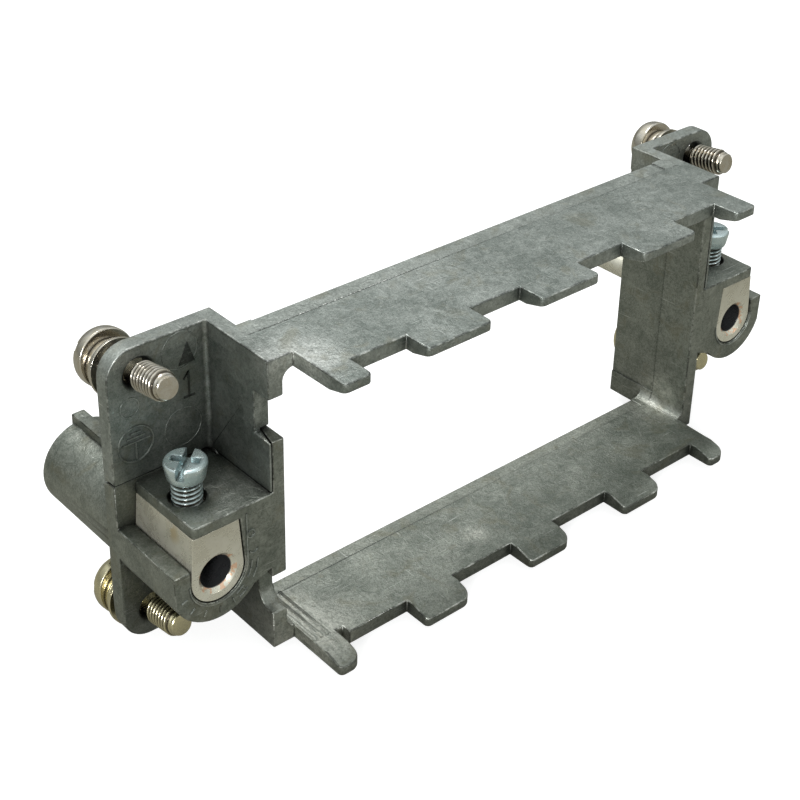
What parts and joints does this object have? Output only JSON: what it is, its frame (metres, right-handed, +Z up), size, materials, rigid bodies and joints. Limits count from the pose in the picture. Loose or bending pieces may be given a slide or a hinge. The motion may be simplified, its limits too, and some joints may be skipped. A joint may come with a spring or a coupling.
{
  "type": "modular insert hinged frame",
  "caption": "Hinged die-cast frame that clamps rectangular connector modules between notched rails, with earth terminals, mating earth sockets and captive fixing screws.",
  "frame": {"origin": "centre of the fixing-screw pattern on the seat face of the flanges", "axes": "+X along the frame, -Y towards the wire side where the screws point, +Z up to the upper rail"},
  "size_m": [0.0844, 0.0316, 0.0342],
  "materials": {
    "zinc": "bare zinc casting, mottled grey",
    "pin_steel": "plain",
    "plated_brass": "silvery plated, satin",
    "blue_zinc_steel": "blue-passivated zinc",
    "nickel_steel": "nickel plated",
    "yellow_zinc_steel": "yellow-passivated zinc"
  },
  "bodies": {
    "lower_frame": {"lower_half": "zinc", "hinge_pin_left": "pin_steel", "hinge_pin_right": "pin_steel", "pe_contact_left": "plated_brass", "pe_contact_right": "plated_brass"},
    "upper_frame": {"upper_half": "zinc"},
    "pe_screw_left": {"pe_screw_left": "blue_zinc_steel"},
    "pe_screw_right": {"pe_screw_right": "blue_zinc_steel"},
    "washers_upper_left": {"flat_washer_upper_left": "nickel_steel", "spring_washer_upper_left": "nickel_steel"},
    "screw_upper_left": {"fixing_screw_upper_left": "nickel_steel"},
    "washers_upper_right": {"flat_washer_upper_right": "nickel_steel", "spring_washer_upper_right": "nickel_steel"},
    "screw_upper_right": {"fixing_screw_upper_right": "nickel_steel"},
    "washers_lower_left": {"flat_washer_lower_left": "yellow_zinc_steel", "spring_washer_lower_left": "yellow_zinc_steel"},
    "screw_lower_left": {"fixing_screw_lower_left": "yellow_zinc_steel"},
    "washers_lower_right": {"flat_washer_lower_right": "yellow_zinc_steel", "spring_washer_lower_right": "yellow_zinc_steel"},
    "screw_lower_right": {"fixing_screw_lower_right": "yellow_zinc_steel"}
  },
  "joints": [
    {"name": "frame_hinge", "type": "hinge", "parent": "lower_frame", "child": "upper_frame", "pos_m": [0, 0.0004, 0], "axis": [-1, 0, 0], "range_deg": [0, 10]},
    {"name": "pe_clamp_left", "type": "slide", "parent": "lower_frame", "child": "pe_screw_left", "axis": [0, 0, 1], "range_m": [-0.0021, 0.0008]},
    {"name": "pe_clamp_right", "type": "slide", "parent": "lower_frame", "child": "pe_screw_right", "axis": [0, 0, 1], "range_m": [-0.0021, 0.0008]},
    {"name": "screw_tilt_upper_left", "type": "hinge", "parent": "upper_frame", "child": "washers_upper_left", "pos_m": [-0.03875, 0.00111, 0.0133], "axis": [1, 0, 0], "range_deg": [0, 20]},
    {"name": "screw_turn_upper_left", "type": "hinge", "parent": "washers_upper_left", "child": "screw_upper_left", "pos_m": [-0.03875, 0.00111, 0.0133], "axis": [0, -0.9848, 0.1736], "continuous": true},
    {"name": "screw_tilt_upper_right", "type": "hinge", "parent": "upper_frame", "child": "washers_upper_right", "pos_m": [0.03875, 0.00111, 0.0133], "axis": [1, 0, 0], "range_deg": [0, 16]},
    {"name": "screw_turn_upper_right", "type": "hinge", "parent": "washers_upper_right", "child": "screw_upper_right", "pos_m": [0.03875, 0.00111, 0.0133], "axis": [0, -0.9903, 0.1392], "continuous": true},
    {"name": "screw_tilt_lower_left", "type": "hinge", "parent": "lower_frame", "child": "washers_lower_left", "pos_m": [-0.03875, 0.00111, -0.0137], "axis": [1, 0, 0], "range_deg": [0, 20]},
    {"name": "screw_turn_lower_left", "type": "hinge", "parent": "washers_lower_left", "child": "screw_lower_left", "pos_m": [-0.03875, 0.00111, -0.0137], "axis": [0, -0.9848, 0.1736], "continuous": true},
    {"name": "screw_tilt_lower_right", "type": "hinge", "parent": "lower_frame", "child": "washers_lower_right", "pos_m": [0.03875, 0.00111, -0.0137], "axis": [1, 0, 0], "range_deg": [0, 18]},
    {"name": "screw_turn_lower_right", "type": "hinge", "parent": "washers_lower_right", "child": "screw_lower_right", "pos_m": [0.03875, 0.00111, -0.0137], "axis": [0, -0.9877, 0.1564], "continuous": true}
  ]
}
